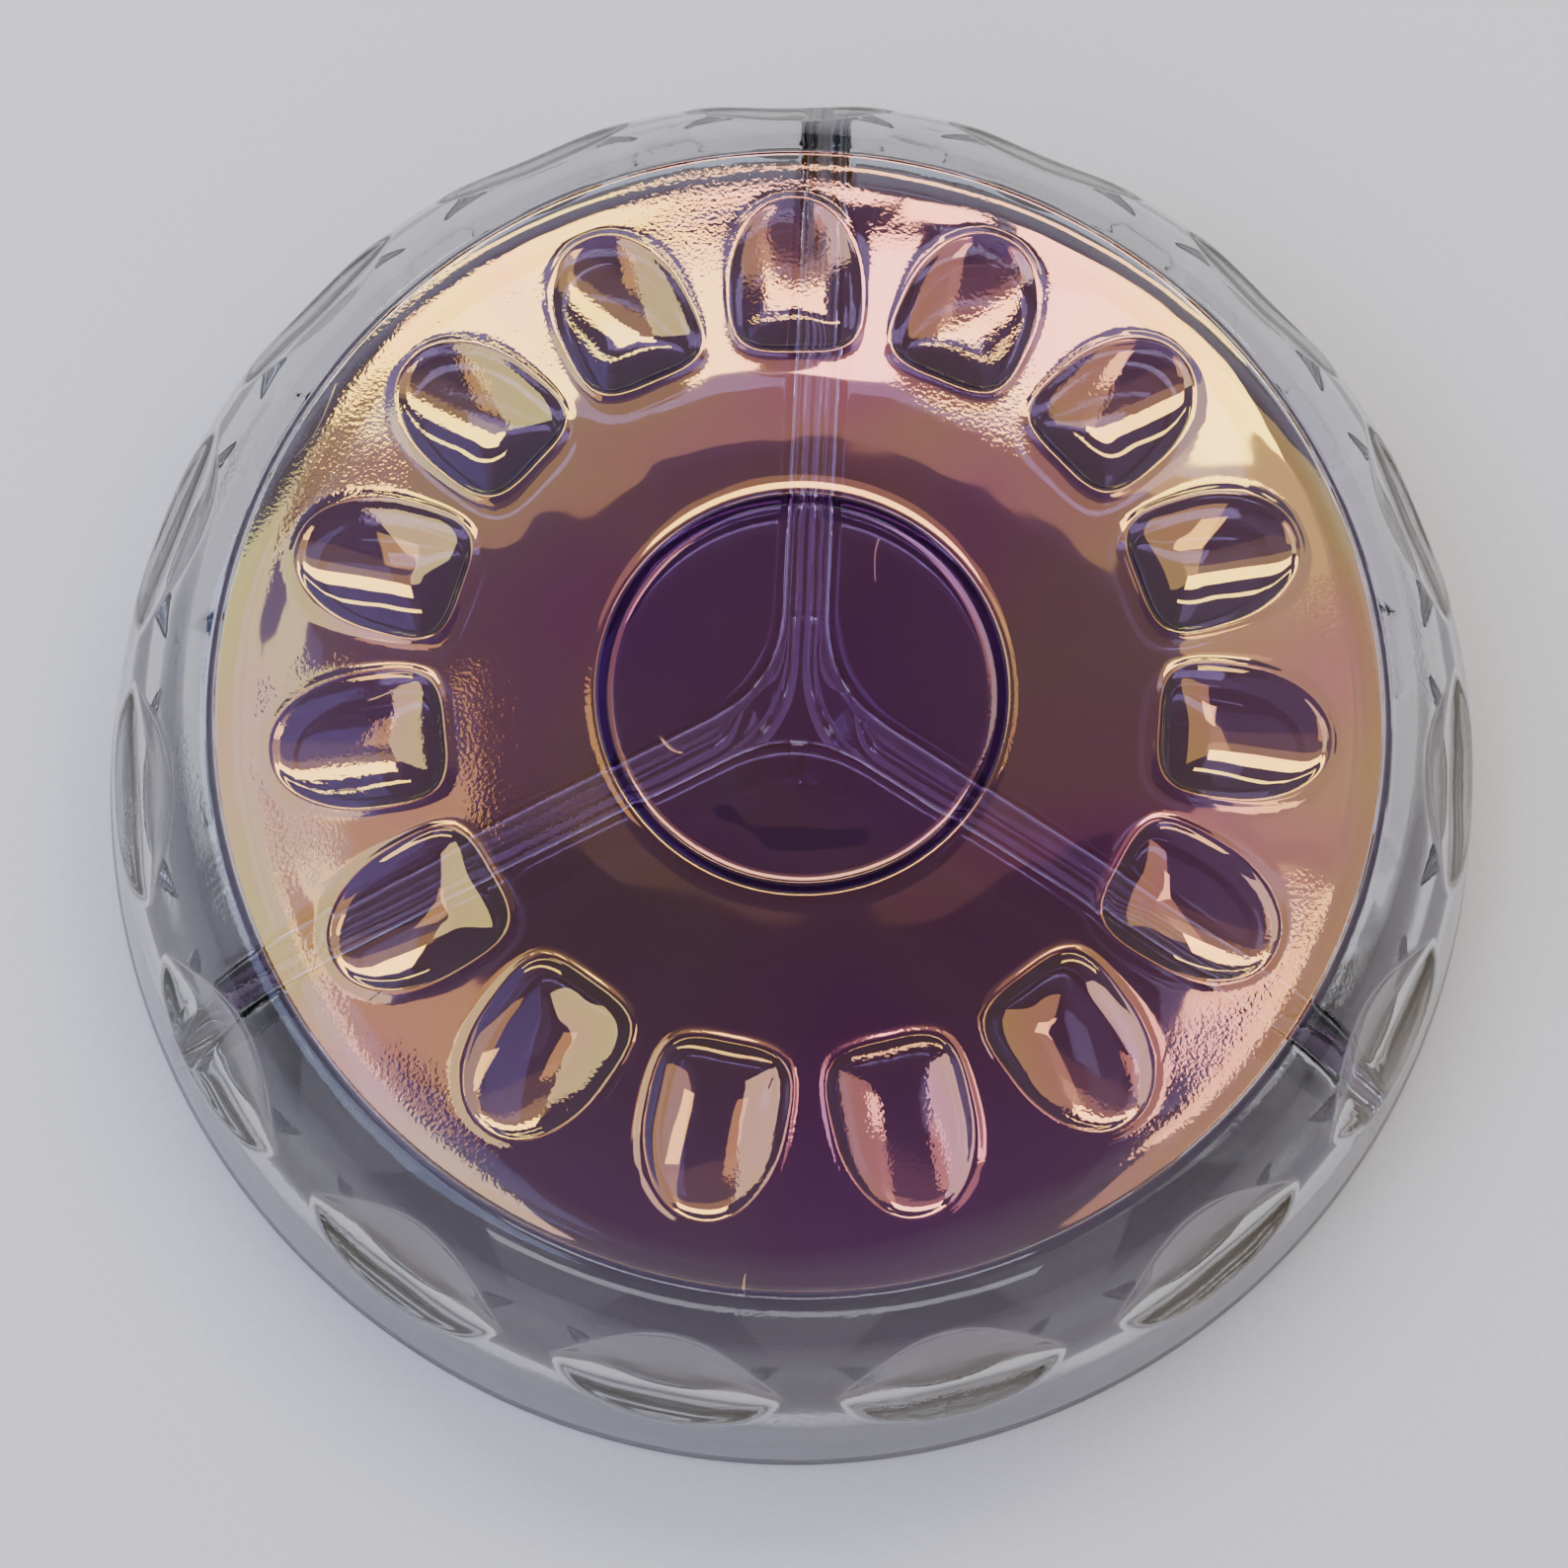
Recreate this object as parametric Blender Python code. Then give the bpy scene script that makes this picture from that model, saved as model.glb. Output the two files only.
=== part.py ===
"""Three-compartment thumbprint relish dish in pressed glass, turned over on its rim: +Z leaves its underside.

The dish is one glass pressing. Its plainly different regions are separate solids here, a hair apart:
the recessed centre disc, the flat ring that it stands on, the thumbprinted base, the heel, the side wall
with its ovals, the rim, and the divider's hub and three arms.
"""

import math

import bmesh
import bpy
import numpy as np
from mathutils import Matrix

MM = 0.001

# Overall size.
RIM_RADIUS = 140 * MM
HEIGHT = 69 * MM

# Pressed pattern: as many thumbprints under the base as ovals round the wall, in line with each other.
PRINTS = 15
PRINT_PITCH = math.tau / PRINTS
PRINT_TURN = math.radians(15.6)

# Outside of the base: a flat ring to stand on, then a shallow dome down to the mould seam.
RECESS_RADIUS = 37.4 * MM
RECESS_DEPTH = 3 * MM
RECESS_STEP_WIDTH = 3.2 * MM
RECESS_EDGE_DROP = 0.2 * MM
RECESS_FOOT_WIDTH = 1 * MM
RECESS_FOOT_RISE = 0.3 * MM
FLAT_RADIUS = 50 * MM
SEAM_RADIUS = 108 * MM

# The outside from the flat ring over the dome, heel and wall to the rim: radius and height in millimetres.
OUTSIDE_CURVE = [(50, 69), (60, 68.7), (72, 67.9), (84, 66.8), (96, 65.5), (106, 64.2), (114, 60.5)]
OUTSIDE_CURVE += [(121.8, 52.4), (127, 45), (131.5, 36.5), (134.4, 26), (137.4, 14), (140, 2.5)]

# Glass thickness, by the distance from the axis.
THICKNESS_RADII = [0, 60, 100, 118, 128, 136, 140]
THICKNESS_MM = [7, 7, 7.2, 8, 8, 6, 5]

# Base thumbprint: egg-shaped, blunt towards the axis, narrow outwards, and deepest nearer its blunt end.
# Its powers are for the blunt half and the narrow half, and a higher one makes a squarer outline.
THUMB_RING_RADIUS = 81.6 * MM
THUMB_HALF_WIDTH = 12.6 * MM
THUMB_HALF_LENGTH = 16.1 * MM
THUMB_TAPER = 0.22
THUMB_SIDE_POWERS = (2.9, 2.3)
THUMB_END_POWERS = (4.4, 2)
THUMB_DEPTH = 3.6 * MM
THUMB_DEEPEST = -4.5 * MM

# Wall oval: an almond lying along the wall.
OVAL_RADIUS = 127 * MM
OVAL_HALF_WIDTH = 22.3 * MM
OVAL_HALF_HEIGHT = 15.5 * MM
OVAL_DEPTH = 4.2 * MM
OVAL_MARGIN = 2 * MM

# Divider: three upright arms on a filleted hub, thinner towards its free edge.
ARMS = 3
ARM_FREE_EDGE_Z = 9 * MM
ARM_FREE_HALF_THICKNESS = 2.1 * MM
ARM_ROOT_HALF_THICKNESS = 3.4 * MM
ARM_EDGE_ROUNDING = 1.2 * MM
HUB_REACH = 10 * MM
ARM_CLEARANCE = 0.6 * MM

# The rounded rim, and the gap between touching solids.
RIM_ROUNDING = 2.5 * MM
LIP_TURNS = [math.radians(angle) for angle in (25, 50, 75)]
GAP = 0.3 * MM

# Fineness. A dimple's rings are shares of its outline, from the edge to near its middle.
SPOKES_PER_PRINT = 6
PLAIN_SPOKES_PER_PRINT = 4
PATCH_ROWS = 4
DIMPLE_RINGS = (1.0, 0.82, 0.55, 0.25)
INNER_ROWS = 9
BAND_ROWS = 5
ARM_WALL_STEPS = 24
HUB_FILLET_STEPS = 7
OUTLINE_HALVINGS = 30
CURVE_STEPS = 6
TANGENT_REACH = 0.5 * MM
SHARP_ANGLE = math.radians(35)
WELD = 0.001 * MM


class Profile:
    """A smooth outline in the radius-height plane, walked by its length from its inner or upper end."""

    def __init__(self, points):
        points = np.array(points, float) * MM
        ends = [2 * points[0] - points[1], *points, 2 * points[-1] - points[-2]]
        rows = []
        for before, start, end, after in zip(ends, ends[1:], ends[2:], ends[3:]):
            for t in np.arange(CURVE_STEPS) / CURVE_STEPS:
                rows.append(spline_point(before, start, end, after, t))
        rows.append(points[-1])
        self.points = np.array(rows)
        steps = np.linalg.norm(np.diff(self.points, axis=0), axis=1)
        self.distance = np.concatenate([[0], np.cumsum(steps)])
        self.length = self.distance[-1]

    def at(self, s):
        """The radius and height at distance s, carried straight on past either end."""
        s_in = min(max(s, 0), self.length)
        point = np.array([np.interp(s_in, self.distance, self.points[:, k]) for k in (0, 1)])
        return point + self.tangent(s_in) * (s - s_in)

    def tangent(self, s):
        low, high = max(s - TANGENT_REACH, 0), min(s + TANGENT_REACH, self.length)
        ends = [[np.interp(d, self.distance, self.points[:, k]) for k in (0, 1)] for d in (low, high)]
        step = np.subtract(ends[1], ends[0])
        return step / np.linalg.norm(step)

    def outward(self, s):
        along = self.tangent(min(max(s, 0), self.length))
        return np.array([-along[1], along[0]])

    def where_radius(self, radius):
        """The distance at which the outline reaches this radius."""
        return float(np.interp(radius, self.points[:, 0], self.distance))

    def inside(self, s):
        """The point of the glass's inner surface under the outline at s."""
        radius = self.at(s)[0]
        depth = np.interp(radius / MM, THICKNESS_RADII, THICKNESS_MM) * MM
        return self.at(s) - self.outward(s) * depth


def spline_point(before, start, end, after, t):
    """A Catmull-Rom point between start and end."""
    return 0.5 * (
        2 * start
        + (end - before) * t
        + (2 * before - 5 * start + 4 * end - after) * t**2
        + (3 * start - before - 3 * end + after) * t**3
    )


OUTSIDE = Profile(OUTSIDE_CURVE)
SEAM_S = OUTSIDE.where_radius(SEAM_RADIUS)
OVAL_S = OUTSIDE.where_radius(OVAL_RADIUS)
WALL_START = OVAL_S - OVAL_HALF_HEIGHT - OVAL_MARGIN
WALL_END = OVAL_S + OVAL_HALF_HEIGHT + OVAL_MARGIN


def turned(point, angle):
    """A radius-height point turned about +Z, with angle 0 at -Y and growing towards +X."""
    radius, height = point
    return (radius * math.sin(angle), -radius * math.cos(angle), height)


def circle(point, count):
    """A full turn of a radius-height point, starting half a pitch from a thumbprint."""
    start = PRINT_TURN - PRINT_PITCH / 2
    return [turned(point, start + math.tau * k / count) for k in range(count)]


def skin(mesh, loops):
    """Quads between neighbouring closed loops of points."""
    rows = [[mesh.verts.new(point) for point in loop] for loop in loops]
    for upper, lower in zip(rows, rows[1:]):
        for k in range(len(upper)):
            after = (k + 1) % len(upper)
            mesh.faces.new((upper[k], upper[after], lower[after], lower[k]))
    return rows


def glass_material(name, colour, roughness):
    material = bpy.data.materials.new(name)
    material.use_nodes = True
    shader = material.node_tree.nodes["Principled BSDF"]
    shader.inputs["Base Color"].default_value = (*colour, 1)
    shader.inputs["Roughness"].default_value = roughness
    shader.inputs["Metallic"].default_value = 0
    return material


def finish(mesh, name, parent, material):
    """Welds a mesh, turns its faces outwards and adds it to the scene."""
    bmesh.ops.remove_doubles(mesh, verts=mesh.verts, dist=WELD)
    bmesh.ops.recalc_face_normals(mesh, faces=mesh.faces)
    data = bpy.data.meshes.new(name)
    mesh.to_mesh(data)
    mesh.free()
    data.shade_smooth()
    data.set_sharp_from_angle(angle=SHARP_ANGLE)
    data.materials.append(material)
    piece = bpy.data.objects.new(name, data)
    piece.parent = parent
    bpy.context.scene.collection.objects.link(piece)
    return piece


def egg_reach(direction):
    """How far a thumbprint's outline is from its middle; direction is across, outward-along."""
    across, along = direction
    low, high = 0, 2 * THUMB_HALF_LENGTH
    for _ in range(OUTLINE_HALVINGS):
        reach = (low + high) / 2
        x, y = reach * across, reach * along
        width = THUMB_HALF_WIDTH * (1 - THUMB_TAPER * y / THUMB_HALF_LENGTH)
        half = 0 if y < 0 else 1
        side, end = THUMB_SIDE_POWERS[half], THUMB_END_POWERS[half]
        inside = abs(x / width) ** side + abs(y / THUMB_HALF_LENGTH) ** end < 1
        low, high = (reach, high) if inside else (low, reach)
    return low


def almond_reach(direction):
    """How far an oval's outline is from its middle: two arcs meeting in a point at each end."""
    across, along = direction
    linear = abs(along) / OVAL_HALF_HEIGHT
    square = (across / OVAL_HALF_WIDTH) ** 2
    return 2 / (linear + math.sqrt(linear**2 + 4 * square))


def patch_border(start, end, middle):
    """The four sides of one pitch of a band, as angle and distance from its middle, in one closed round."""
    half = PRINT_PITCH / 2
    columns = np.linspace(-half, half, SPOKES_PER_PRINT + 1)
    rows = np.linspace(start - middle, end - middle, PATCH_ROWS + 1)
    border = [(angle, rows[0]) for angle in columns[:-1]]
    border += [(half, row) for row in rows[:-1]]
    border += [(angle, rows[-1]) for angle in columns[:0:-1]]
    border += [(-half, row) for row in rows[:0:-1]]
    return border


def dimple_patch(mesh, centre_angle, start, end, middle, reach, depth, deepest):
    """One pitch of a pressed band: its plain border, and the dimple's crisp outline and hollow."""
    radius = OUTSIDE.at(middle)[0]

    def place(angle, offset, sink):
        s = middle + offset
        return turned(OUTSIDE.at(s) - OUTSIDE.outward(s) * sink, centre_angle + angle)

    border = patch_border(start, end, middle)
    outline = []
    for angle, offset in border:
        across, along = angle * radius, offset
        size = math.hypot(across, along)
        far = reach((across / size, along / size))
        outline.append((far * across / size, far * along / size))

    loops = [[place(angle, offset, 0) for angle, offset in border]]
    for share in DIMPLE_RINGS:
        sink = depth * (1 - share**2)
        loops.append([place(x * share / radius, deepest + (y - deepest) * share, sink) for x, y in outline])
    rows = skin(mesh, loops)
    bottom = mesh.verts.new(place(0, deepest, depth))
    ring = rows[-1]
    for k in range(len(ring)):
        mesh.faces.new((ring[k], ring[(k + 1) % len(ring)], bottom))


def dimpled_ring(name, parent, material, start, end, middle, reach, depth, deepest=0):
    """A band of the dish with one dimple per pitch on its outside and the plain inner surface behind."""
    start, end = start + GAP / 2, end - GAP / 2
    mesh = bmesh.new()
    for k in range(PRINTS):
        angle = PRINT_TURN + k * PRINT_PITCH
        dimple_patch(mesh, angle, start, end, middle, reach, depth, deepest)
    spokes = PRINTS * SPOKES_PER_PRINT
    inner = [circle(OUTSIDE.inside(s), spokes) for s in np.linspace(start, end, INNER_ROWS)]
    skin(mesh, [circle(OUTSIDE.at(start), spokes), *inner, circle(OUTSIDE.at(end), spokes)])
    return finish(mesh, name, parent, material)


def turned_ring(name, parent, material, section):
    """A plain ring turned from a closed section."""
    mesh = bmesh.new()
    loops = [circle(point, PRINTS * PLAIN_SPOKES_PER_PRINT) for point in section]
    skin(mesh, [*loops, loops[0]])
    return finish(mesh, name, parent, material)


def band_section(start, end):
    """The closed section of a band between two cuts square to the surface."""
    stations = np.linspace(start + GAP / 2, end - GAP / 2, BAND_ROWS)
    outside = [OUTSIDE.at(s) for s in stations]
    return outside + [OUTSIDE.inside(s) for s in stations[::-1]]


def make_centre_disc(parent, material):
    """The recessed disc in the middle of the base, level with the compartments on its inside."""
    floor = HEIGHT - RECESS_DEPTH
    inner = HEIGHT - THICKNESS_MM[0] * MM
    edge = RECESS_RADIUS - GAP / 2
    foot = RECESS_RADIUS - RECESS_STEP_WIDTH
    section = [(foot - RECESS_FOOT_WIDTH, floor), (foot, floor + RECESS_FOOT_RISE)]
    section += [(edge, HEIGHT - RECESS_EDGE_DROP), (edge, inner)]
    mesh = bmesh.new()
    rows = skin(mesh, [circle(point, PRINTS * PLAIN_SPOKES_PER_PRINT) for point in section])
    for ring in (rows[0], rows[-1]):
        mesh.faces.new(ring)
    return finish(mesh, "centre_disc", parent, material)


def make_standing_ring(parent, material):
    """The flat ring round the recess, which the dish stands on in use."""
    inner = HEIGHT - THICKNESS_MM[0] * MM
    near, far = RECESS_RADIUS + GAP / 2, FLAT_RADIUS - GAP / 2
    section = [(near, HEIGHT), (far, HEIGHT), (far, inner), (near, inner)]
    return turned_ring("standing_ring", parent, material, section)


def make_thumbprint_base(parent, material):
    middle = OUTSIDE.where_radius(THUMB_RING_RADIUS)
    print_shape = (middle, egg_reach, THUMB_DEPTH, THUMB_DEEPEST)
    return dimpled_ring("thumbprint_base", parent, material, 0, SEAM_S, *print_shape)


def make_heel(parent, material):
    """The rounded shoulder between the mould seam and the wall's ovals."""
    return turned_ring("heel", parent, material, band_section(SEAM_S, WALL_START))


def make_side_wall(parent, material):
    oval_shape = (OVAL_S, almond_reach, OVAL_DEPTH)
    return dimpled_ring("side_wall", parent, material, WALL_START, WALL_END, *oval_shape)


def make_rim(parent, material):
    """The plain band under the ovals, ending in the rounded rim that the turned-over dish stands on."""
    stations = np.linspace(WALL_END + GAP / 2, OUTSIDE.length, BAND_ROWS)
    outside = [OUTSIDE.at(s) for s in stations]
    middle = RIM_RADIUS - RIM_ROUNDING
    arc = [(RIM_ROUNDING * math.cos(turn), RIM_ROUNDING * (1 - math.sin(turn))) for turn in LIP_TURNS]
    lip = [(middle + reach, height) for reach, height in arc]
    lip += [(middle, 0)]
    lip += [(middle - reach, height) for reach, height in arc[::-1]]
    inside = [OUTSIDE.inside(s) for s in stations[::-1]]
    return turned_ring("rim", parent, material, outside + lip + inside)


def arm_half_thickness(height):
    """Half the divider's thickness: it has draft, so it is thinner at its free edge."""
    root = HEIGHT - THICKNESS_MM[0] * MM
    heights = (ARM_FREE_EDGE_Z, root)
    return float(np.interp(height, heights, (ARM_FREE_HALF_THICKNESS, ARM_ROOT_HALF_THICKNESS)))


def arm_outline():
    """The side view of one arm: from the hub along the floor, down the wall and back along the free edge."""
    floor = HEIGHT - THICKNESS_MM[0] * MM - GAP
    start = HUB_REACH + GAP / 2
    wall = []
    for s in np.linspace(0, OUTSIDE.length, ARM_WALL_STEPS):
        point = OUTSIDE.inside(s) - OUTSIDE.outward(s) * ARM_CLEARANCE
        if point[1] < ARM_FREE_EDGE_Z:
            break
        wall.append(tuple(point))
    share = (wall[-1][1] - ARM_FREE_EDGE_Z) / (wall[-1][1] - point[1])
    foot = wall[-1][0] + share * (point[0] - wall[-1][0])
    return [(start, floor), *wall, (foot, ARM_FREE_EDGE_Z), (start, ARM_FREE_EDGE_Z)]


def make_divider_arm(number, parent, material):
    """One upright arm, from the hub to the wall."""
    mesh = bmesh.new()
    outline = arm_outline()
    sides = []
    for side in (-1, 1):
        points = [(side * arm_half_thickness(z), r, z) for r, z in outline]
        sides.append([mesh.verts.new(point) for point in points])
        mesh.faces.new(sides[-1])
    for k in range(len(outline)):
        after = (k + 1) % len(outline)
        mesh.faces.new((sides[0][k], sides[0][after], sides[1][after], sides[1][k]))
    free = [edge for edge in mesh.edges if runs_along_free_edge(edge)]
    bmesh.ops.bevel(mesh, geom=free, offset=ARM_EDGE_ROUNDING, segments=2, affect="EDGES", profile=0.5)
    mesh.transform(Matrix.Rotation(math.tau * number / ARMS, 4, "Z"))
    return finish(mesh, f"divider_arm_{number + 1}", parent, material)


def runs_along_free_edge(edge):
    """True for an arm's two long edges at its free height."""
    level = all(abs(vert.co.z - ARM_FREE_EDGE_Z) < WELD for vert in edge.verts)
    return level and abs(edge.verts[0].co.y - edge.verts[1].co.y) > HUB_REACH


def hub_loop(height):
    """The hub's outline at one height: three concave fillets between the three arm ends."""
    half = arm_half_thickness(height)
    reach = HUB_REACH - GAP / 2
    corner = reach * math.tan(math.pi / ARMS)
    fillet = corner - half
    points = []
    for k in range(ARMS):
        bisector = math.tau * (k + 0.5) / ARMS
        centre = corner / math.sin(math.pi / ARMS)
        for turn in np.linspace(math.pi / 6, -math.pi / 6, HUB_FILLET_STEPS):
            angle = bisector + math.pi + turn
            x = centre * math.sin(bisector) + fillet * math.sin(angle)
            y = centre * math.cos(bisector) + fillet * math.cos(angle)
            points.append((x, y, height))
    return points


def make_divider_hub(parent, material):
    """The middle of the divider, where the three arms meet."""
    floor = HEIGHT - THICKNESS_MM[0] * MM - GAP
    mesh = bmesh.new()
    rows = skin(mesh, [hub_loop(floor), hub_loop(ARM_FREE_EDGE_Z)])
    for ring in rows:
        mesh.faces.new(ring)
    return finish(mesh, "divider_hub", parent, material)


def main():
    for old in list(bpy.data.objects):
        bpy.data.objects.remove(old, do_unlink=True)
    dish = bpy.data.objects.new("relish_dish", None)
    bpy.context.scene.collection.objects.link(dish)

    amethyst = glass_material("amethyst_glass", (0.20, 0.07, 0.30), 0.08)
    lustre = glass_material("lustred_glass", (0.55, 0.38, 0.42), 0.12)
    smoke = glass_material("smoke_glass", (0.42, 0.44, 0.46), 0.06)

    make_centre_disc(dish, amethyst)
    make_standing_ring(dish, amethyst)
    make_thumbprint_base(dish, lustre)
    make_heel(dish, smoke)
    make_side_wall(dish, smoke)
    make_rim(dish, smoke)
    make_divider_hub(dish, amethyst)
    for number in range(ARMS):
        make_divider_arm(number, dish, smoke)


main()
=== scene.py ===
"""Carnival glass relish dish, turned over on its rim: the finished glass, a pale floor and soft light."""

import math

import bmesh
import bpy
import numpy as np
from mathutils import Matrix, Vector


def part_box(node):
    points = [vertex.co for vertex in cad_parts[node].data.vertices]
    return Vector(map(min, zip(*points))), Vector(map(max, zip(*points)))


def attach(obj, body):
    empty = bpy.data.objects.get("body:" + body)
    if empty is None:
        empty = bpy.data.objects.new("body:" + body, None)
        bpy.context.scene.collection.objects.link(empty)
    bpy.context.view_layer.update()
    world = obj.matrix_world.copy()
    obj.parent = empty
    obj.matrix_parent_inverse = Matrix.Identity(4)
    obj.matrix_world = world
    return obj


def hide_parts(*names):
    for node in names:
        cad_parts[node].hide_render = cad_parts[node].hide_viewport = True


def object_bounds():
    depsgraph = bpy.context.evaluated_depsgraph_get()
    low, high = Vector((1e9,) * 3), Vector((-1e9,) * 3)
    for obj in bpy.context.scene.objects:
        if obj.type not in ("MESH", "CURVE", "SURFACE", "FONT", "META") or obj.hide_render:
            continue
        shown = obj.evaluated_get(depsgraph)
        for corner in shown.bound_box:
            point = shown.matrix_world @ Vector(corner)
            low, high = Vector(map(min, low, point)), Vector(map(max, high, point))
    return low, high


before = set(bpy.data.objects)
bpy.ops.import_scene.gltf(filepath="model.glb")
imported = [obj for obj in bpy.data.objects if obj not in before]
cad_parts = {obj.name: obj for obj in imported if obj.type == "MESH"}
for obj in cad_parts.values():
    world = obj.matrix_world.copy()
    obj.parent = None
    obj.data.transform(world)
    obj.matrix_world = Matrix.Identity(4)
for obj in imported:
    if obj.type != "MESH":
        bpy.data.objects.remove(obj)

CAD_BOX = [list(corner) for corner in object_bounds()]

# Sizes taken from the frame, in metres. The outlines below are in units of about a millimetre. HALF_GAP
# is about half the gap between two neighbouring solids of the frame, which the glass itself doesn't have.
RIM_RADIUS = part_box("rim")[1][0]
HEIGHT = CAD_BOX[1][2]
RIM_UNITS = 139.88
UNIT = RIM_RADIUS / RIM_UNITS
HALF_GAP = 0.2 * UNIT
RECESS_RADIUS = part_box("centre_disc")[1][0] + HALF_GAP
SEAM_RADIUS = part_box("thumbprint_base")[1][0] + HALF_GAP
FREE_EDGE_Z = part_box("divider_hub")[0][2]

# The outside from the flat ring over the dome, the heel and the wall to the rim.
OUTSIDE_CURVE = [(50, 69), (60, 68.7), (72, 67.9), (84, 66.8), (96, 65.5), (106, 64.2), (114, 60.5)]
OUTSIDE_CURVE += [(121.8, 52.4), (127, 45), (131.5, 36.5), (134.4, 26), (137.4, 14), (140, 2.5)]
THICKNESS_RADII = [0, 60, 100, 118, 128, 136, 140]
THICKNESS = [7, 7, 7.2, 8, 8, 6, 5]

# Pressed pattern.
PRINTS = 15
PITCH = math.tau / PRINTS
PRINT_TURN = math.radians(15.6)
THUMB_RADIUS = 81.6
THUMB_HALF_WIDTH = 12.6
THUMB_HALF_LENGTH = 16.1
THUMB_TAPER = 0.22
THUMB_SIDE_POWERS = (2.9, 2.3)
THUMB_END_POWERS = (4.4, 2)
THUMB_DEPTH = 3.6
THUMB_DEEPEST = -4.5
OVAL_RADIUS = 127
OVAL_HALF_WIDTH = 22.3
OVAL_HALF_HEIGHT = 15.5
OVAL_DEPTH = 4.2
MARGIN = 2
LIP_WIDTH = 1.1

# Turned details: the recess, the mould seam and the beads above the rim. A ridge is (height, width).
RECESS_DEPTH = 3
RECESS_CROWN = 0.25
CROWN_RADIUS = 30
SEAM_RIDGE = (0.28, 0.32)
SEAM_STEP = (0.22, 0.8)
SEAM_STEP_OFFSET = 1.6
BEAD = (0.22, 0.4)
BEAD_OFFSETS = (2, 4.4)
SEAM_BEFORE, SEAM_AFTER = 1.2, 3.6
SEAM_RISE = (-0.8, -0.5, -0.3, -0.15, 0)
SEAM_FALL = (0, 0.15, 0.3, 0.5, 0.8, 1.2, 1.6, 2.1, 2.8)
BEAD_STATIONS = (5.4, 4.8, 4.4, 4, 3.6, 3.2, 2.8, 2.4, 2, 1.6, 1.2, 0.6, 0)
BEAD_BEFORE = 6
RIM_ROWS = 12

# Divider. Its flanks rise ARM_STEEPNESS units for each unit outwards, and the pale, partly milky glass of
# a flank, a painted highlight for the bright lines along the arms, runs from ARM_EDGE to ARM_ROOT off the
# arm's middle plane.
ARMS = 3
ARM_HALF_THICKNESS = 2.1
ARM_STEEPNESS = 40
ARM_EDGE = 0.4
ARM_ROOT = 3.6
ROOT_FILLET = 3
FILLET_FADE = 8
HUB_FILLET = 13
ROUNDED_SHARE = 0.985

# Fineness.
SPOKES = 24
PATCH_ROWS = 12
ARM_STEPS = 64
PLAIN_SHARES = (1, 0.75, 0.55, 0.4, 0.28, 0.18, 0.09, 0)
HOLLOW_SHARES = (1, 0.975, 0.95, 0.92, 0.87, 0.8, 0.7, 0.58, 0.44, 0.3, 0.15)
FLANK_LEVELS = (0.4, 0.7, 1.1, 1.5, 1.7, 1.9, 2.02, 2.1, 2.25, 2.5, 2.8, 3.1, 3.4, 3.8, 4.3, 5, 5.8, 6.8)
FLOOR_LEVELS = (8, 9.4, 10.8, 12.2, 13.6, *np.arange(15, 31.5, 1.5), 33, 37)
MIDDLE_SHARES = (0.8, 0.6, 0.4, 0.2)
OUTLINE_HALVINGS = 30
LEVEL_HALVINGS = 26
WELD = 0.004


# ---------------------------------------------------------------- outlines


class Profile:
    """A smooth outline in the radius-height plane, walked by its length from its inner or upper end."""

    def __init__(self, points, steps=24):
        points = np.array(points, float)
        ends = [2 * points[0] - points[1], *points, 2 * points[-1] - points[-2]]
        rows = [
            spline_point(before, start, end, after, t)
            for before, start, end, after in zip(ends, ends[1:], ends[2:], ends[3:])
            for t in np.arange(steps) / steps
        ]
        self.points = np.array([*rows, points[-1]])
        lengths = np.linalg.norm(np.diff(self.points, axis=0), axis=1)
        self.distance = np.concatenate([[0], np.cumsum(lengths)])
        self.length = self.distance[-1]

    def at(self, s):
        s = np.clip(s, 0, self.length)
        return np.stack([np.interp(s, self.distance, self.points[:, k]) for k in (0, 1)], -1)

    def outward(self, s):
        reach = 0.6
        step = self.at(np.asarray(s) + reach) - self.at(np.asarray(s) - reach)
        step = step / np.linalg.norm(step, axis=-1, keepdims=True)
        return np.stack([-step[..., 1], step[..., 0]], -1)

    def inside(self, s):
        depth = np.interp(self.at(s)[..., 0], THICKNESS_RADII, THICKNESS)
        return self.at(s) - self.outward(s) * depth[..., None]

    def where_radius(self, radius):
        return float(np.interp(radius, self.points[:, 0], self.distance))


def spline_point(before, start, end, after, t):
    """A Catmull-Rom point between start and end."""
    return 0.5 * (
        2 * start
        + (end - before) * t
        + (2 * before - 5 * start + 4 * end - after) * t**2
        + (3 * start - before - 3 * end + after) * t**3
    )


OUTSIDE = Profile(OUTSIDE_CURVE)
SEAM_S = OUTSIDE.where_radius(SEAM_RADIUS / UNIT)
THUMB_S = OUTSIDE.where_radius(THUMB_RADIUS)
OVAL_S = OUTSIDE.where_radius(OVAL_RADIUS)
INNER_EDGE = OUTSIDE.inside(OUTSIDE.length)


def smooth_max(a, b, blend):
    """The larger of two values, with the corner between them rounded over the blend."""
    near = np.clip(1 - np.abs(a - b) / blend, 0, None)
    return np.maximum(a, b) + blend / 4 * near**2


def smooth_min(a, b, blend):
    return -smooth_max(-a, -b, blend)


def place(radius, height, angle):
    """Points at an angle about +Z, with angle 0 at -Y and growing towards +X."""
    return np.stack([radius * np.sin(angle), -radius * np.cos(angle), height + 0 * angle], -1)


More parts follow.
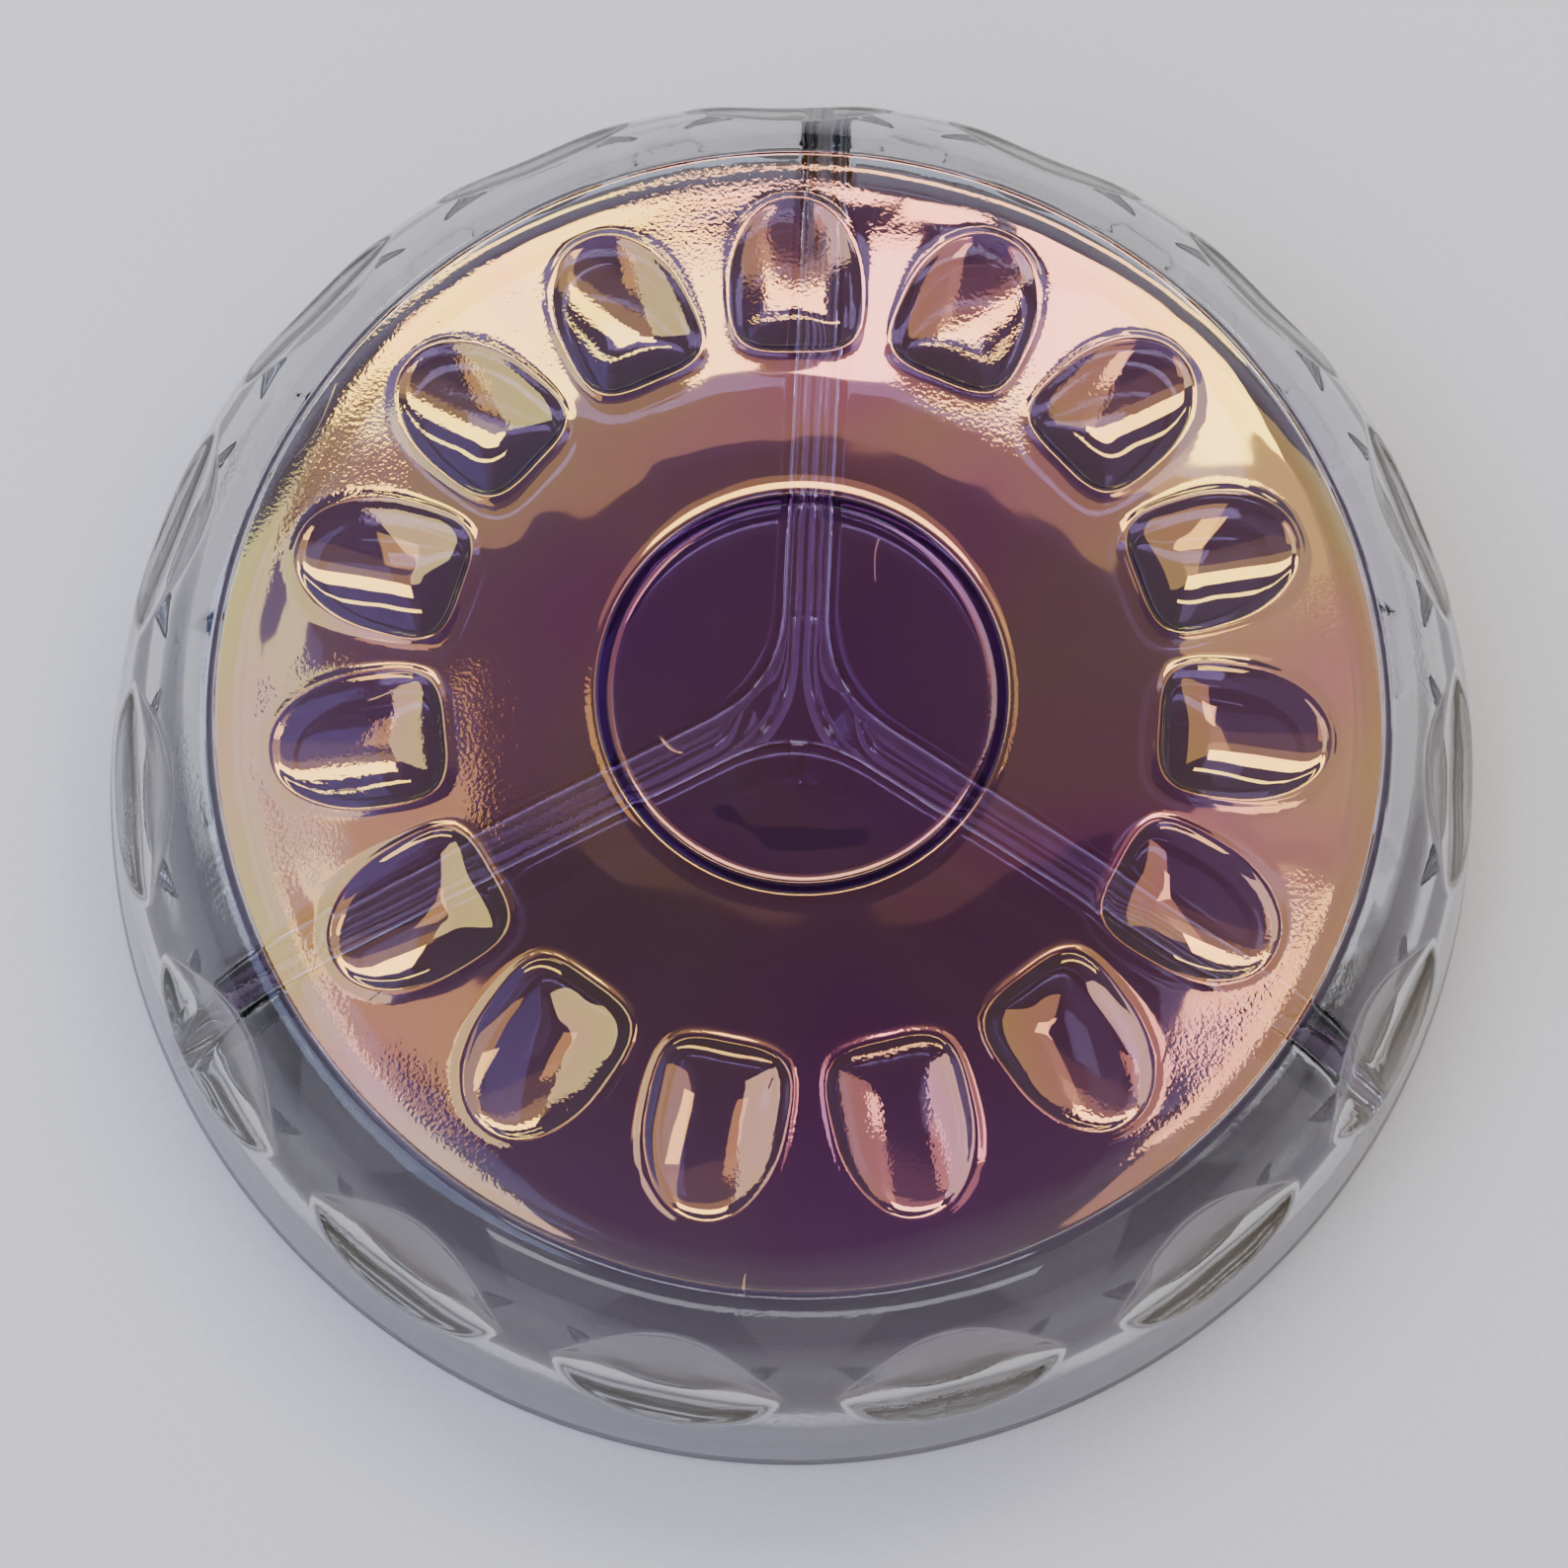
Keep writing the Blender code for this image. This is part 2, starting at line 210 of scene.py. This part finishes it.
class Skin:
    """Quads gathered loop by loop, welded into one mesh at the end."""

    def __init__(self):
        self.points = []
        self.faces = []
        self.marks = []
        self.count = 0

    def add(self, loops, mark, close=None):
        """Quads between neighbouring closed loops of points, and a fan to a closing point."""
        loops = [np.asarray(loop, float) for loop in loops]
        size = len(loops[0])
        base = self.count
        for row in range(len(loops) - 1):
            upper, lower = base + row * size, base + (row + 1) * size
            for k in range(size):
                after = (k + 1) % size
                self.faces.append((upper + k, upper + after, lower + after, lower + k))
                self.marks.append(mark)
        self.points.extend(loops)
        self.count += size * len(loops)
        if close is not None:
            last = base + (len(loops) - 1) * size
            self.points.append(np.array([close], float))
            for k in range(size):
                self.faces.append((last + k, last + (k + 1) % size, self.count))
                self.marks.append(mark)
            self.count += 1

    def piece(self, name, materials):
        mesh = bpy.data.meshes.new(name)
        mesh.from_pydata((np.concatenate(self.points) * UNIT).tolist(), [], self.faces)
        for material in materials:
            mesh.materials.append(material)
        mesh.polygons.foreach_set("material_index", self.marks)
        work = bmesh.new()
        work.from_mesh(mesh)
        bmesh.ops.remove_doubles(work, verts=work.verts, dist=WELD * UNIT)
        bmesh.ops.recalc_face_normals(work, faces=work.faces)
        work.to_mesh(mesh)
        work.free()
        mesh.shade_smooth()
        made = bpy.data.objects.new(name, mesh)
        bpy.context.scene.collection.objects.link(made)
        return made


# ---------------------------------------------------------------- outside of the glass

# Of these marks, the inside's faces carry painted shade, the divider's pale flanks a painted highlight and
# the recess step painted shade.
LUSTRE, HOLLOW, RECESS, STEP, SMOKE, AMBER, SHADED_INSIDE, DIVIDER_HIGHLIGHT = range(8)
RING_START = PRINT_TURN - PITCH / 2
TURN = RING_START + np.arange(PRINTS * SPOKES) * math.tau / (PRINTS * SPOKES)


def egg_reach(across, along):
    """How far a thumbprint's outline is from its middle: egg-shaped, blunt towards the dish's axis."""
    low, high = 0 * across, 0 * across + 2 * THUMB_HALF_LENGTH
    for _ in range(OUTLINE_HALVINGS):
        reach = (low + high) / 2
        x, y = reach * across, reach * along
        width = THUMB_HALF_WIDTH * (1 - THUMB_TAPER * y / THUMB_HALF_LENGTH)
        side, end = [np.where(y < 0, *powers) for powers in (THUMB_SIDE_POWERS, THUMB_END_POWERS)]
        inside = np.abs(x / width) ** side + np.abs(y / THUMB_HALF_LENGTH) ** end < 1
        low, high = np.where(inside, reach, low), np.where(inside, high, reach)
    return low


def almond_reach(across, along):
    """How far an oval's outline is from its middle: two arcs meeting in a point at each end."""
    square = (across / OVAL_HALF_WIDTH) ** 2 + 1e-9
    linear = np.abs(along) / OVAL_HALF_HEIGHT
    return (-linear + np.sqrt(linear**2 + 4 * square)) / (2 * square)


class Dimple:
    """A pressed hollow: its outline, depth and deepest place, its edge's rounding and its raised lip."""

    def __init__(self, reach, depth, deepest, edge, lip):
        self.reach, self.depth, self.deepest, self.edge, self.lip = reach, depth, deepest, edge, lip


def patch_border(start, end, middle):
    """The four sides of one pitch of a band, as (angle, distance) from its middle, in a closed round."""
    half = PITCH / 2
    columns = np.linspace(-half, half, SPOKES + 1)
    rows = np.linspace(start - middle, end - middle, PATCH_ROWS + 1)
    sides = [np.stack([columns[:-1], 0 * columns[:-1] + rows[0]], -1)]
    sides += [np.stack([0 * rows[:-1] + half, rows[:-1]], -1)]
    sides += [np.stack([columns[:0:-1], 0 * columns[:0:-1] + rows[-1]], -1)]
    sides += [np.stack([0 * rows[:0:-1] - half, rows[:0:-1]], -1)]
    return np.concatenate(sides)


def add_dimples(skin, start, end, middle, dimple, marks):
    """A pressed band with one dimple per pitch, hollow on one mark and plain between on the other."""
    radius = OUTSIDE.at(middle)[0]
    border = patch_border(start, end, middle) * (radius, 1)
    size = np.linalg.norm(border, axis=1)
    outline = border * (dimple.reach(border[:, 0] / size, border[:, 1] / size) / size)[:, None]
    deepest = np.array([0, dimple.deepest])

    def lay(spots, share, centre):
        away = np.linalg.norm(spots - outline, axis=-1)
        inland = np.clip(np.linalg.norm(spots - border, axis=-1), 0, 1)
        sink = smooth_max(0 * share, dimple.depth * (1 - share**2), dimple.edge) * inland
        sink -= dimple.lip * np.exp(-((away / LIP_WIDTH) ** 2)) * inland
        s = middle + spots[:, 1]
        point = OUTSIDE.at(s) - OUTSIDE.outward(s) * sink[:, None]
        return place(point[:, 0], point[:, 1], centre + spots[:, 0] / radius)

    across = np.linalg.norm(outline - deepest, axis=1)
    bottom = OUTSIDE.at(middle + dimple.deepest) - OUTSIDE.outward(middle + dimple.deepest) * dimple.depth
    for k in range(PRINTS):
        centre = PRINT_TURN + k * PITCH
        plain = []
        for share in PLAIN_SHARES:
            spots = outline + (border - outline) * share
            plain.append(lay(spots, 1 + np.linalg.norm(spots - outline, axis=1) / across, centre))
        skin.add(plain, marks[0])
        hollow = []
        for share in HOLLOW_SHARES:
            hollow.append(lay(deepest + (outline - deepest) * share, share + 0 * across, centre))
        skin.add(hollow, marks[1], close=place(bottom[0], bottom[1], np.array(centre)))


def add_band(skin, stations, mark, lift=None):
    """A plain turned band through distances along the outside, with an optional lift off the outline."""
    loops = []
    for s in stations:
        point = OUTSIDE.at(s) + OUTSIDE.outward(s) * (lift(s) if lift else 0)
        loops.append(place(point[0], point[1], TURN))
    skin.add(loops, mark)


def ridge(away, height, width):
    return height * math.exp(-((away / width) ** 2))


def seam_lift(s):
    """The mould seam: a hairline ridge with a shallow step after it."""
    return ridge(s - SEAM_S, *SEAM_RIDGE) - ridge(s - SEAM_S - SEAM_STEP_OFFSET, *SEAM_STEP)


def rim_lift(s):
    """Two fine turned beads just above the rim."""
    return sum(ridge(s - OUTSIDE.length + up, *BEAD) for up in BEAD_OFFSETS)


def add_recess(skin):
    """The recessed disc: a barely domed floor, a filleted foot, a sloping step and a raised brow."""
    edge = RECESS_RADIUS / UNIT
    top = HEIGHT / UNIT
    floor = top - RECESS_DEPTH
    brow = [(edge + 2.6, top), (edge + 2, top + 0.05), (edge + 1.4, top + 0.16), (edge + 0.9, top + 0.22)]
    brow += [(edge + 0.5, top + 0.18), (edge + 0.2, top), (edge, top - 0.25), (edge - 0.15, top - 0.6)]
    step = [brow[-1], (edge - 1.1, floor + 1.1), (edge - 1.5, floor + 0.72)]
    foot = [step[-1], (edge - 2, floor + 0.46), (edge - 2.7, floor + 0.24), (edge - 3.6, floor + 0.1)]
    foot += [(edge - 5, floor + 0.02), (edge - 7, floor)]
    for radius in (27, 22, 16, 10, 5, 1.5):
        foot.append((radius, floor + RECESS_CROWN * (1 - (radius / CROWN_RADIUS) ** 2)))
    flat = [(radius, top) for radius in (50, 48.5, (edge + 50) / 2, edge + 4, edge + 2.6)]
    # The step ring takes a darker glass, painted shade along the recess's edge.
    for section, mark in ((flat, LUSTRE), (brow, LUSTRE), (step, STEP)):
        skin.add([place(radius, height, TURN) for radius, height in section], mark)
    middle = (0, 0, floor + RECESS_CROWN)
    skin.add([place(radius, height, TURN) for radius, height in foot], RECESS, close=middle)


def add_rim(skin):
    """The rounded rim, which also turns the spokes by part of a degree to meet the compartments'."""
    start, end = OUTSIDE.at(OUTSIDE.length), INNER_EDGE
    middle, half = (start + end) / 2, (start[0] - end[0]) / 2
    loops = []
    pitch = math.tau / len(TURN)
    shift = TURN[0] - round(TURN[0] / pitch) * pitch
    for k in range(RIM_ROWS + 1):
        share = k / RIM_ROWS
        turn = math.pi * share
        height = start[1] + (end[1] - start[1]) * share
        height -= height * math.sin(turn) ** 0.9 if 0 < share < 1 else 0
        loops.append(place(middle[0] + half * math.cos(turn), height, TURN - shift * share))
    skin.add(loops, SMOKE)


# ---------------------------------------------------------------- inside of the glass


def inner_height(radius):
    """The height of the plain inner surface, floor and wall, at a distance from the axis."""
    s = np.linspace(0, OUTSIDE.length, 600)
    line = OUTSIDE.inside(s)
    radii = np.concatenate([[0, 30], line[:, 0]])
    heights = np.concatenate([[line[0, 1], line[0, 1]], line[:, 1]])
    return np.interp(radius, radii, heights)


def divider_gap(x, y):
    """The distance from the nearer arm's middle plane in the compartment at -Y, rounded at the hub."""
    third = math.pi / ARMS
    to_left = math.cos(third) * x - math.sin(third) * y
    to_right = -math.cos(third) * x - math.sin(third) * y
    return smooth_min(to_left, to_right, HUB_FILLET)


def inner_surface(x, y):
    """The height of the glass in a compartment: the lower of the bowl and the divider's filleted flank."""
    top = FREE_EDGE_Z / UNIT
    bowl = inner_height(np.hypot(x, y))
    gap = np.clip(divider_gap(x, y), 0, None)
    half = ARM_HALF_THICKNESS
    turned = ROUNDED_SHARE * half
    rounding = half - np.sqrt(half**2 - np.minimum(gap, turned) ** 2)
    flank = top + rounding + ARM_STEEPNESS * np.clip(gap - turned, 0, None)
    fillet = ROOT_FILLET * np.clip((bowl - top) / FILLET_FADE, 0, 1)
    root = half + np.clip(bowl - fillet - top - half, 0, None) / ARM_STEEPNESS
    into = np.clip(root + fillet - gap, 0, fillet)
    return np.minimum(flank, bowl - (fillet - np.sqrt(np.clip(fillet**2 - into**2, 0, None))))


def compartment_border():
    """The compartment at -Y: out along one arm's middle, round the rim's inside, back along the other."""
    reach = INNER_EDGE[0]
    along = np.linspace(0, 1, ARM_STEPS + 1)[:-1] * reach
    third = math.pi / ARMS
    left = np.stack([-along * math.sin(third), -along * math.cos(third)], -1)
    turns = np.linspace(-third, third, PRINTS * SPOKES // ARMS + 1)
    arc = np.stack([reach * np.sin(turns), -reach * np.cos(turns)], -1)
    right = left[:0:-1] * (-1, 1)
    return np.concatenate([left, arc, right])


def add_compartment(skin, turn):
    """One compartment: loops that follow the divider and the wall inwards to its middle."""
    border = compartment_border()
    reach = INNER_EDGE[0]
    centre = np.array([0, -0.54 * reach])

    def level(spots):
        x, y = spots[:, 0], spots[:, 1]
        return np.minimum(divider_gap(x, y), reach - np.hypot(x, y))

    loops = [border]
    for value in (*FLANK_LEVELS, *FLOOR_LEVELS):
        low, high = np.zeros(len(border)), np.ones(len(border))
        for _ in range(LEVEL_HALVINGS):
            share = (low + high) / 2
            deep = level(centre + (border - centre) * share[:, None]) > value
            low, high = np.where(deep, share, low), np.where(deep, high, share)
        loops.append(centre + (border - centre) * low[:, None])
    loops += [centre + (loops[-1] - centre) * share for share in MIDDLE_SHARES]
    placed = []
    cos, sin = math.cos(turn), math.sin(turn)
    for loop in [*loops, centre[None]]:
        height = inner_surface(loop[:, 0], loop[:, 1])
        x = cos * loop[:, 0] - sin * loop[:, 1]
        y = sin * loop[:, 0] + cos * loop[:, 1]
        placed.append(np.stack([x, y, height], -1))
    edge, root = (1 + sum(value < limit for value in FLANK_LEVELS) for limit in (ARM_EDGE, ARM_ROOT))
    # The compartment's inside is darkened into painted shade, and each flank's band from ARM_EDGE to
    # ARM_ROOT is paled into a painted highlight.
    skin.add(placed[: edge + 1], SHADED_INSIDE)
    skin.add(placed[edge : root + 1], DIVIDER_HIGHLIGHT)
    skin.add(placed[root:-1], SHADED_INSIDE, close=placed[-1][0])


def build_glass(materials):
    skin = Skin()
    thumb_start, thumb_end = THUMB_S - THUMB_HALF_LENGTH - MARGIN, THUMB_S + THUMB_HALF_LENGTH + MARGIN
    oval_start, oval_end = OVAL_S - OVAL_HALF_HEIGHT - MARGIN, OVAL_S + OVAL_HALF_HEIGHT + MARGIN
    add_recess(skin)
    add_band(skin, np.linspace(0, thumb_start, 7), LUSTRE)
    thumbprint = Dimple(egg_reach, THUMB_DEPTH, THUMB_DEEPEST, edge=0.4, lip=0.4)
    add_dimples(skin, thumb_start, thumb_end, THUMB_S, thumbprint, (LUSTRE, HOLLOW))
    before = np.linspace(thumb_end, SEAM_S - SEAM_BEFORE, 5)
    rise = SEAM_S + np.array(SEAM_RISE)
    fall = SEAM_S + np.array(SEAM_FALL)
    after = np.linspace(SEAM_S + SEAM_AFTER, oval_start, 7)
    add_band(skin, [*before, *rise], LUSTRE, seam_lift)
    add_band(skin, [*fall, *after], SMOKE, seam_lift)
    oval = Dimple(almond_reach, OVAL_DEPTH, 0, edge=0.6, lip=0.1)
    add_dimples(skin, oval_start, oval_end, OVAL_S, oval, (SMOKE, AMBER))
    plain = np.linspace(oval_end, OUTSIDE.length - BEAD_BEFORE, 7)
    add_band(skin, [*plain, *(OUTSIDE.length - np.array(BEAD_STATIONS))], SMOKE, rim_lift)
    add_rim(skin)
    for k in range(ARMS):
        add_compartment(skin, k * math.tau / ARMS)
    return skin.piece("glass_dish", materials)


# ---------------------------------------------------------------- materials

GLASS_IOR = 1.5
TINT_REACH = 140
TINT_WANDER = 14
TINT_STOPS = (0.0, 0.45, 0.72, 0.80, 1.0)
CLEAR_WALL = (0.56, 0.57, 0.56)
LUSTRE_IOR = 2.15
WORN_IOR = 1.85
THIN_IOR = 1.7
NO_LUSTRE = (8, 16)
NO_LUSTRE_IOR = 1.8
BUMP_DEPTH = 0.4 * UNIT


class Nodes:
    """Short calls for a material's node tree."""

    def __init__(self, name):
        self.material = bpy.data.materials.new(name)
        self.material.use_nodes = True
        self.tree = self.material.node_tree
        self.shader = self.tree.nodes["Principled BSDF"]

    def add(self, kind, **inputs):
        node = self.tree.nodes.new(kind)
        for key, value in inputs.items():
            self.feed(node.inputs[key.replace("_", " ")], value)
        return node

    def feed(self, socket, value):
        if isinstance(value, bpy.types.NodeSocket):
            self.tree.links.new(value, socket)
        else:
            socket.default_value = value

    def math(self, operation, first, second=0.0):
        node = self.tree.nodes.new("ShaderNodeMath")
        node.operation = operation
        self.feed(node.inputs[0], first)
        self.feed(node.inputs[1], second)
        return node.outputs[0]

    def place(self):
        return self.tree.nodes.new("ShaderNodeNewGeometry").outputs["Position"]

    def radius(self):
        """The distance from the dish's axis, in outline units."""
        split = self.add("ShaderNodeSeparateXYZ", Vector=self.place())
        squares = [self.math("MULTIPLY", split.outputs[k], split.outputs[k]) for k in ("X", "Y")]
        return self.math("DIVIDE", self.math("SQRT", self.math("ADD", *squares)), UNIT)

    def noise(self, scale, detail=2.0, roughness=0.5, distortion=0.0):
        node = self.add("ShaderNodeTexNoise", Vector=self.place(), Scale=scale, Detail=detail)
        node.inputs["Roughness"].default_value = roughness
        node.inputs["Distortion"].default_value = distortion
        return node.outputs["Fac"]

    def spread(self, value, low, high, to_low=0.0, to_high=1.0):
        node = self.tree.nodes.new("ShaderNodeMapRange")
        node.interpolation_type = "SMOOTHSTEP"
        self.feed(node.inputs["Value"], value)
        for key, number in zip(("From Min", "From Max", "To Min", "To Max"), (low, high, to_low, to_high)):
            self.feed(node.inputs[key], number)
        return node.outputs["Result"]

    def ramp(self, value, stops):
        node = self.tree.nodes.new("ShaderNodeValToRGB")
        self.feed(node.inputs["Fac"], value)
        elements = node.color_ramp.elements
        while len(elements) < len(stops):
            elements.new(0.5)
        for element, (position, colour) in zip(elements, stops):
            element.position = position
            element.color = (*colour, 1)
        return node.outputs["Color"]

    def mix(self, factor, first, second):
        node = self.tree.nodes.new("ShaderNodeMix")
        node.data_type = "RGBA"
        self.feed(node.inputs["Factor"], factor)
        self.feed(node.inputs[6], first)
        self.feed(node.inputs[7], second)
        return node.outputs[2]


def glass_tint(nodes, middle, shoulder, wall):
    """Amethyst in the middle of the dish, fading through the heel to nearly clear smoke at the rim."""
    cloud = nodes.math("MULTIPLY", nodes.math("SUBTRACT", nodes.noise(14, 2), 0.5), TINT_WANDER)
    share = nodes.math("DIVIDE", nodes.math("ADD", nodes.radius(), cloud), TINT_REACH)
    colours = (middle, middle, shoulder, wall, wall)
    return nodes.ramp(share, list(zip(TINT_STOPS, colours)))


def scratches(nodes):
    """A few short, squiggly shear marks and rubs: thin contour lines of a noise, kept only in patches."""
    wander = nodes.noise(15, 1.2)
    line = nodes.spread(nodes.math("ABSOLUTE", nodes.math("SUBTRACT", wander, 0.5)), 0.0, 0.0012, 1.0, 0.0)
    return nodes.math("MULTIPLY", line, nodes.spread(nodes.noise(58, 2), 0.62, 0.66))


def lustre_material(name, film, index, tint, haze):
    """Glass under a metal-oxide lustre, whose thickness range in nanometres sets its colour."""
    nodes = Nodes(name)
    shader = nodes.shader
    nodes.feed(shader.inputs["Base Color"], glass_tint(nodes, *tint))
    shader.inputs["Transmission Weight"].default_value = 1
    shader.inputs["IOR"].default_value = GLASS_IOR
    marks = scratches(nodes)
    dull = nodes.spread(nodes.noise(60, 3), 0.3, 0.75, *haze)
    nodes.feed(shader.inputs["Roughness"], nodes.math("ADD", dull, nodes.math("MULTIPLY", marks, 0.4)))
    drift = nodes.noise(13, 2, 0.5, 0.6)
    nodes.feed(shader.inputs["Thin Film Thickness"], nodes.spread(drift, 0.3, 0.7, *film))
    shader.inputs["Thin Film IOR"].default_value = index
    patches = nodes.spread(nodes.noise(19, 2), 0.48, 0.62)
    peel = nodes.math("MULTIPLY", nodes.math("MULTIPLY", nodes.noise(1300, 1, 0.5), 0.35), patches)
    wave = nodes.math("MULTIPLY", nodes.noise(55, 1), 1.6)
    ripple = nodes.math("ADD", peel, nodes.math("SUBTRACT", wave, marks))
    bump = nodes.add("ShaderNodeBump", Height=ripple)
    bump.inputs["Strength"].default_value = 0.3
    bump.inputs["Distance"].default_value = BUMP_DEPTH
    nodes.feed(shader.inputs["Normal"], bump.outputs["Normal"])
    return nodes.material


def inside_material(name, middle, shoulder, clear=1.0):
    """The compartments' side: fire-polished glass with no lustre. Its colours paint light: darkened they
    are painted shade, pale they are a painted highlight, and where clear is below 1 the glass turns milky,
    which adds to the painted highlight.
    """
    nodes = Nodes(name)
    shader = nodes.shader
    nodes.feed(shader.inputs["Base Color"], glass_tint(nodes, middle, shoulder, CLEAR_WALL))
    shader.inputs["Transmission Weight"].default_value = clear
    shader.inputs["IOR"].default_value = GLASS_IOR
    haze = nodes.noise(40, 2)
    nodes.feed(shader.inputs["Roughness"], nodes.spread(haze, 0.3, 0.8, 0.0, 0.03))
    bump = nodes.add("ShaderNodeBump", Height=nodes.noise(70, 1))
    bump.inputs["Strength"].default_value = 0.12
    bump.inputs["Distance"].default_value = BUMP_DEPTH
    nodes.feed(shader.inputs["Normal"], bump.outputs["Normal"])
    return nodes.material


def dish_materials():
    """In the order of the face marks."""
    violet = ((0.46, 0.32, 0.76), (0.58, 0.46, 0.80), (0.62, 0.62, 0.61))
    # deep, a darker violet than the glass, is painted shade on the recess step.
    deep = ((0.18, 0.03, 0.22),) * 3
    base = lustre_material("copper_lustre", (214, 230), LUSTRE_IOR, violet, (0.02, 0.06))
    prints = lustre_material("gold_lustre", (214, 226), LUSTRE_IOR, violet, (0.01, 0.04))
    recess = lustre_material("worn_lustre", (256, 276), WORN_IOR, violet, (0.01, 0.04))
    step = lustre_material("recess_step_painted_shade", NO_LUSTRE, NO_LUSTRE_IOR, deep, (0.01, 0.04))
    wall = lustre_material("smoke_wall", NO_LUSTRE, NO_LUSTRE_IOR, violet, (0, 0.02))
    ovals = lustre_material("amber_lustre", (100, 118), THIN_IOR, violet, (0, 0.02))
    # The inside's tint is far darker than the glass's own amethyst: painted shade for the dark under the
    # dish seen through it.
    inside = inside_material("inside_painted_shade", (0.075, 0.02, 0.125), (0.15, 0.055, 0.20))
    # The divider's flanks are pale and partly milky: a painted highlight for the bright double lines along
    # the arms.
    divider = inside_material("divider_painted_highlight", (1.0, 0.80, 1.0), (1.0, 0.84, 1.0), 0.8)
    return [base, prints, recess, step, wall, ovals, inside, divider]


# ---------------------------------------------------------------- stage, light and camera

FLOOR_HALF_SIZE = 4
PANEL_DISTANCE = 1.6
WORLD_GLOW = 0.15
EXPOSURE = 0.45
LENS = 61.9
CAMERA_TURN = math.radians(-3.0)
CAMERA_HEIGHT = math.radians(78.0)
CAMERA_ROLL = math.radians(-5.9)
CAMERA_DISTANCE = 4 * RIM_RADIUS
AIM_OFFSET = (-0.0034, -0.0053)


def make_floor():
    nodes = Nodes("floor_paper")
    shader = nodes.shader
    grain = nodes.spread(nodes.noise(900, 2), 0.3, 0.7, 0.0, 1.0)
    nodes.feed(shader.inputs["Base Color"], nodes.mix(grain, (0.82, 0.77, 0.70, 1), (0.85, 0.80, 0.73, 1)))
    shader.inputs["Roughness"].default_value = 0.7
    mesh = bmesh.new()
    bmesh.ops.create_grid(mesh, x_segments=4, y_segments=4, size=FLOOR_HALF_SIZE)
    data = bpy.data.meshes.new("floor")
    mesh.to_mesh(data)
    mesh.free()
    data.materials.append(nodes.material)
    floor = bpy.data.objects.new("floor", data)
    bpy.context.scene.collection.objects.link(floor)


def make_panel(name, azimuth, zenith, spread, glow, colour):
    """A soft box aimed at the dish, with azimuth 0 at -Y and growing towards +X, zenith measured from
    straight up, spread how wide and high it looks from the dish, and glow its brightness."""
    light = bpy.data.lights.new(name, "AREA")
    light.shape = "RECTANGLE"
    light.size, light.size_y = [2 * PANEL_DISTANCE * math.tan(math.radians(angle / 2)) for angle in spread]
    light.energy = 4 * light.size * light.size_y * glow
    light.color = colour
    lamp = bpy.data.objects.new(name, light)
    a, z = math.radians(azimuth), math.radians(zenith)
    away = Vector((math.sin(a) * math.sin(z), -math.cos(a) * math.sin(z), math.cos(z)))
    lamp.location = away * PANEL_DISTANCE
    lamp.rotation_mode = "QUATERNION"
    lamp.rotation_quaternion = away.to_track_quat("Z", "Y")
    bpy.context.scene.collection.objects.link(lamp)


def make_light():
    world = bpy.data.worlds.new("studio")
    world.use_nodes = True
    backdrop = world.node_tree.nodes["Background"]
    backdrop.inputs["Color"].default_value = (0.90, 0.92, 0.96, 1)
    backdrop.inputs["Strength"].default_value = WORLD_GLOW
    bpy.context.scene.world = world
    make_panel("far_band", 180, 32.5, (46, 10), 4.2, (0.94, 0.94, 1))
    make_panel("far_strip", 180, 48, (60, 3), 3.4, (0.94, 0.94, 1))
    make_panel("overhead", 180, 18, (54, 20), 0.08, (0.9, 0.92, 1))
    make_panel("far_overhead", 180, 24, (50, 8), 0.3, (0.94, 0.92, 1))
    make_panel("left_patch", -95, 19, (22, 9), 0.7, (0.9, 0.84, 0.8))
    make_panel("left_panel", -78, 37, (58, 32), 1.8, (0.5, 0.62, 1))
    make_panel("right_panel", 95, 36, (56, 30), 0.5, (0.95, 0.9, 1))
    make_panel("right_patch", 82, 25, (16, 9), 1.8, (0.95, 0.95, 1))
    make_panel("near_low", 0, 58, (56, 7), 2.2, (0.9, 0.94, 1))


def make_camera():
    """A long-lens view from above the near side, turned a little about its own axis."""
    data = bpy.data.cameras.new("camera")
    data.sensor_width = 36
    data.lens = LENS
    data.clip_start = 0.01
    camera = bpy.data.objects.new("camera", data)
    turn, height, roll = CAMERA_TURN, CAMERA_HEIGHT, CAMERA_ROLL
    level = math.cos(height)
    back = Vector((math.sin(turn) * level, -math.cos(turn) * level, math.sin(height)))
    right = Vector((math.cos(turn), math.sin(turn), 0))
    up = back.cross(right)
    tilted_right = right * math.cos(roll) - up * math.sin(roll)
    tilted_up = right * math.sin(roll) + up * math.cos(roll)
    aim = (tilted_right * AIM_OFFSET[0] + tilted_up * AIM_OFFSET[1]) * CAMERA_DISTANCE
    axes = Matrix([[tilted_right[k], tilted_up[k], back[k]] for k in range(3)]).to_4x4()
    camera.matrix_world = Matrix.Translation(back * CAMERA_DISTANCE + aim) @ axes
    bpy.context.scene.collection.objects.link(camera)
    bpy.context.scene.camera = camera


def main():
    settings = bpy.context.scene.view_settings
    settings.view_transform = "AgX"
    settings.look = "AgX - Medium High Contrast"
    settings.exposure = EXPOSURE
    dish = build_glass(dish_materials())
    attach(dish, "root")
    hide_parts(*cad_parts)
    make_floor()
    make_light()
    make_camera()


main()
